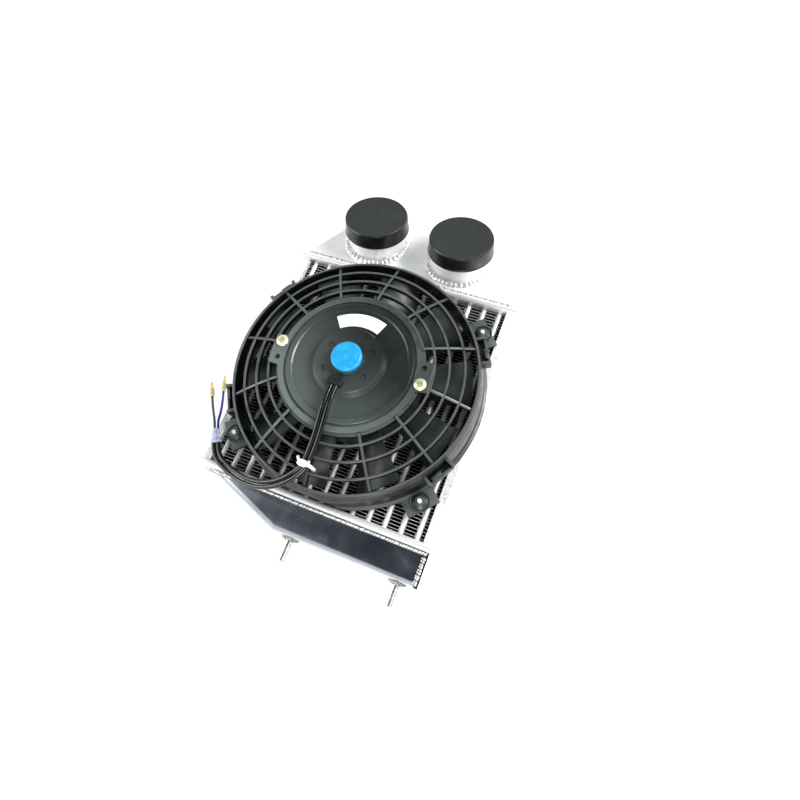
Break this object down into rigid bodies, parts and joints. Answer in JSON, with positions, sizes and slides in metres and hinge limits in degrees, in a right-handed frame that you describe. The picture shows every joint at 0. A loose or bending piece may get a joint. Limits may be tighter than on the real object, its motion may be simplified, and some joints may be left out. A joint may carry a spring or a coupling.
{
  "type": "air-cooled heat exchanger with fan",
  "caption": "Tube-and-fin aluminium heat exchanger with welded end tanks, capped hose necks and a 12 volt fan in a finger grille on its face.",
  "frame": {"origin": "on the surface that the lower header rails stand on, under the middle of the assembly", "axes": "+Z out of the fan side, +Y from the return tank with its studs to the port tank with its necks, +X along the headers"},
  "size_m": [0.2333, 0.3201, 0.1699],
  "materials": {
    "tube_aluminium": "bare extruded aluminium, bright rounded edges",
    "fin_aluminium": "thin folded aluminium strip, dark between the folds",
    "plate_aluminium": "bare sheet aluminium, speckled",
    "header_aluminium": "polished aluminium",
    "tank_aluminium": "polished sheet aluminium with fine scratches",
    "neck_aluminium": "turned aluminium tube",
    "weld_aluminium": "TIG weld beads in overlapping scales",
    "stud_aluminium": "turned aluminium",
    "cap_rubber": "matte black with a satin side",
    "fan_plastic": "black moulded nylon, satin on the ribs",
    "motor_paint": "dark grey satin paint on pressed steel",
    "screw_zinc": "yellow zinc plate",
    "steel": "ground steel",
    "lamination_steel": "stacked laminations",
    "ferrite": "pressed ferrite",
    "copper": "copper",
    "carbon": "pressed carbon",
    "card": "phenolic board",
    "blue_plastic": "bright blue moulded plastic",
    "label_film": "plain white film",
    "sleeve_plastic": "glossy black sleeving",
    "collar_plastic": "pale lavender shrink tube",
    "wire_blue_plastic": "deep blue insulation",
    "wire_black_plastic": "black insulation",
    "terminal_brass": "brass pin in a pale yellow sleeve",
    "tie_plastic": "natural white nylon",
    "rubber": "black rubber"
  },
  "bodies": {
    "cooler": {"air_fins": "fin_aluminium", "blank_label": "label_film", "brush_card": "card", "brush_springs": "steel", "brushes": "carbon", "cable_tie": "tie_plastic", "dust_cap": "blue_plastic", "fan_shroud": "fan_plastic", "fan_grille": "fan_plastic", "far_baffle": "plate_aluminium", "far_tank": "tank_aluminium", "far_welds": "weld_aluminium", "fixing_clips": "fan_plastic", "fixing_rods": "tie_plastic", "front_bearing": "steel", "header_far": "header_aluminium", "header_near": "header_aluminium", "lead_collar": "collar_plastic", "lead_grommet": "rubber", "magnets": "ferrite", "motor_can": "motor_paint", "motor_cover": "motor_paint", "motor_flange": "motor_paint", "motor_screws": "screw_zinc", "near_end_plate": "tank_aluminium", "near_tank": "tank_aluminium", "near_welds": "weld_aluminium", "neck_left": "neck_aluminium", "neck_right": "neck_aluminium", "neck_weld_left": "weld_aluminium", "neck_weld_right": "weld_aluminium", "rear_bearing": "steel", "side_plate_left": "plate_aluminium", "side_plate_right": "plate_aluminium", "sleeve_left": "sleeve_plastic", "sleeve_right": "sleeve_plastic", "stud_left": "stud_aluminium", "stud_right": "stud_aluminium", "stud_weld_left": "weld_aluminium", "stud_weld_right": "weld_aluminium", "terminal_black": "terminal_brass", "terminal_blue": "terminal_brass", "tubes": "tube_aluminium", "turbulators": "fin_aluminium", "wire_black": "wire_black_plastic", "wire_blue": "wire_blue_plastic"},
    "rotor": {"fan_rotor": "fan_plastic", "rotor_nut": "steel", "motor_shaft": "steel", "armature_core": "lamination_steel", "armature_windings": "copper", "commutator": "copper"},
    "cap_left": {"cap_left": "cap_rubber"},
    "cap_right": {"cap_right": "cap_rubber"}
  },
  "joints": [
    {"name": "fan_spin", "type": "hinge", "parent": "cooler", "child": "rotor", "pos_m": [0, -0.01162, 0.1125], "axis": [0, 0, 1], "continuous": true},
    {"name": "cap_left_pull", "type": "slide", "parent": "cooler", "child": "cap_left", "axis": [0, 0.2588, 0.9659], "range_m": [0, 0.04]},
    {"name": "cap_right_pull", "type": "slide", "parent": "cooler", "child": "cap_right", "axis": [0, 0.2588, 0.9659], "range_m": [0, 0.04]}
  ]
}
